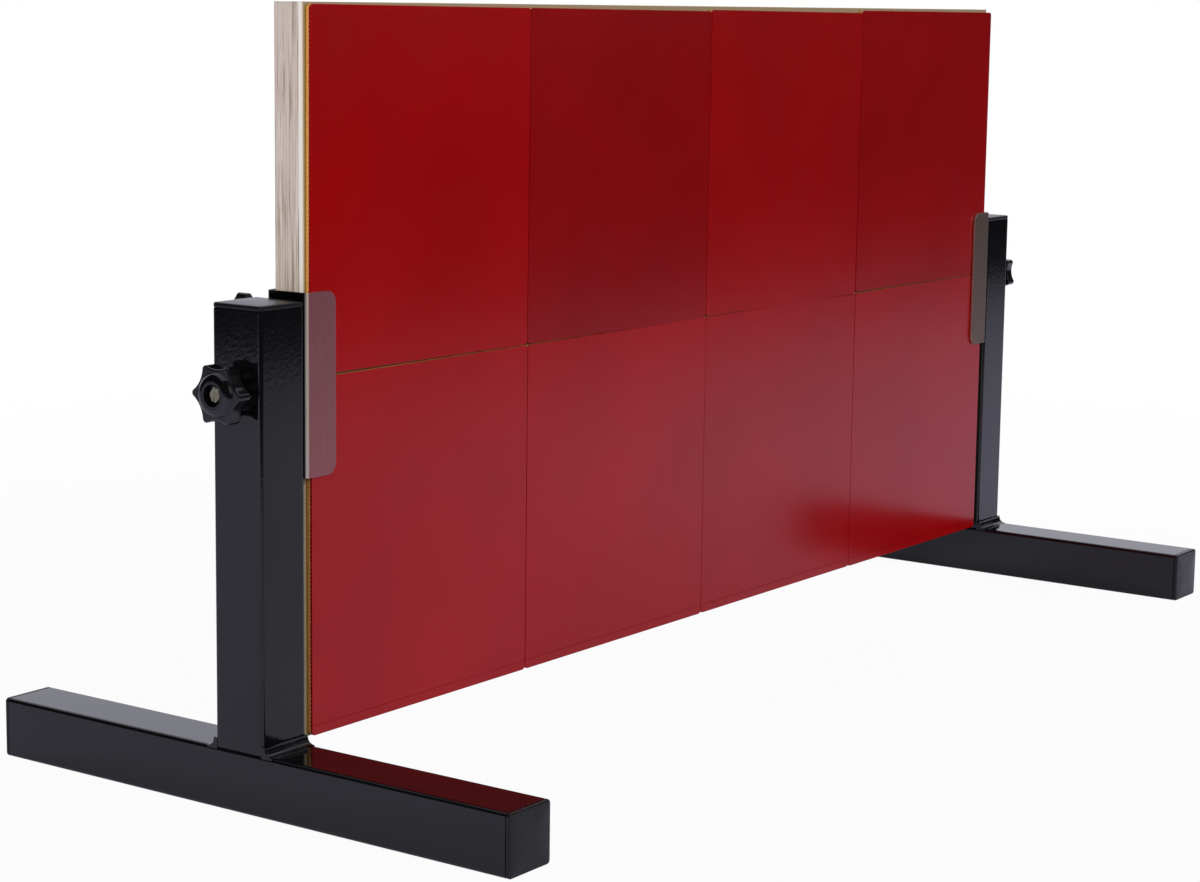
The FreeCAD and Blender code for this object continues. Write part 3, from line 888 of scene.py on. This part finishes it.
def white_floor():
    """Pale floor: almost plain white to the camera, which leaves a trace of the shadow round
    the object. A gloss shows the floor nearly as it is lit, over painted light: brighter and bluer
    to the right, darker further in front."""
    made = finish("white_floor", Roughness=0.8)
    tree = made.node_tree
    # Painted light: the floor is painted brighter and bluer to the right and darker further in
    # front, as a pool of light and its falloff
    painted_light_sideways = add(made, "ValToRGB", {"Fac": position(made, "X", 100 * MM, 700 * MM)},
                   stops=((0.0, "#bcbad2"), (1.0, "#e4dfff")))
    painted_falloff_forwards = add(made, "ValToRGB", {"Fac": position(made, "Y", -150 * MM, -1050 * MM)},
                   stops=((0.0, "#ffffff"), (1.0, "#888888")))
    paint = add(made, "Mix", {FACTOR: 1.0, FIRST: painted_light_sideways, SECOND: painted_falloff_forwards},
                data_type="RGBA", blend_type="MULTIPLY").outputs[MIXED]
    connect(made, Base_Color=paint)
    rays = add(made, "LightPath").outputs
    glow = add(made, "Emission", {"Color": colour("#ffffff"), "Strength": 1.0})
    away = add(made, "VectorMath", {0: place(made)}, operation="LENGTH").outputs["Value"]
    whiteness = add(made, "MapRange", {"Value": away, "From Min": 0.5, "From Max": 1.3,
                                       "To Min": 0.95, "To Max": 1.0})
    to_camera = add(made, "Math", {0: rays["Is Camera Ray"], 1: whiteness}, operation="MULTIPLY")
    to_gloss = add(made, "Math", {0: rays["Is Glossy Ray"], 1: 0.1}, operation="MULTIPLY")
    seen = add(made, "Math", {0: to_camera, 1: to_gloss}, operation="MAXIMUM")
    share = add(made, "Math", {0: seen, 1: rays["Is Transmission Ray"]}, operation="MAXIMUM")
    mixed = add(made, "MixShader", {0: share, 1: tree.nodes["Principled BSDF"], 2: glow})
    tree.links.new(mixed.outputs[0], tree.nodes["Material Output"].inputs["Surface"])
    return made


def white_surroundings():
    """White behind the object, nearly as white in a gloss, and plain light on all sides."""
    world = bpy.data.worlds.new("white_studio")
    bpy.context.scene.world = world
    world.use_nodes = True
    world.node_tree.nodes.clear()
    rays = add(world, "LightPath").outputs
    light = add(world, "Background", {"Color": colour("#ffffff"), "Strength": 0.45})
    gloss = add(world, "Background", {"Color": colour("#e8e8f6"), "Strength": 1.0})
    backdrop = add(world, "Background", {"Color": colour("#ffffff"), "Strength": 1.0})
    mirrored = add(world, "Math", {0: rays["Is Glossy Ray"], 1: rays["Is Transmission Ray"]},
                   operation="MAXIMUM")
    mixed = add(world, "MixShader", {0: mirrored, 1: light, 2: gloss})
    seen = add(world, "MixShader", {0: rays["Is Camera Ray"], 1: mixed, 2: backdrop})
    add(world, "OutputWorld", {"Surface": seen})


def studio():
    floor = flat_card("floor", (FLOOR_SIZE, FLOOR_SIZE), (0, 0, 0), (0, 0, 0))
    wear(floor, white_floor())
    white_surroundings()
    for name, settings in SOFTBOXES.items():
        lamp(name, *settings)
    black = finish("black_velvet", Base_Color=colour("#0b0b0b"), Roughness=1.0)
    for name, (width, centre, turn) in FLAGS.items():
        upright = (math.radians(90), 0, math.radians(turn))
        flag = flat_card(name, (width, FLAG_HEIGHT), centre, upright)
        flag.visible_camera = False
        flag.visible_shadow = False
        flag.visible_diffuse = False
        wear(flag, black)


def camera():
    """Stands at the photograph's viewpoint, front left and a little above the board's top."""
    focal_pixels = 2689.0
    picture_width, picture_height = 1200, 882
    centre_u, centre_v = 596.4, 411.7
    viewpoint = (-1.2675, -0.8425, 0.3784)
    tilt, roll, heading = 81.362, -0.725, -54.411
    data = bpy.data.cameras.new("camera")
    data.sensor_width = 36
    data.lens = focal_pixels * data.sensor_width / picture_width
    data.shift_x = (picture_width / 2 - centre_u) / picture_width
    data.shift_y = (centre_v - picture_height / 2) / picture_width
    made = bpy.data.objects.new("camera", data)
    bpy.context.scene.collection.objects.link(made)
    made.location = viewpoint
    made.rotation_euler = [math.radians(a) for a in (tilt, roll, heading)]
    bpy.context.scene.camera = made


studio()
camera()
bpy.context.scene.view_settings.view_transform = "Standard"
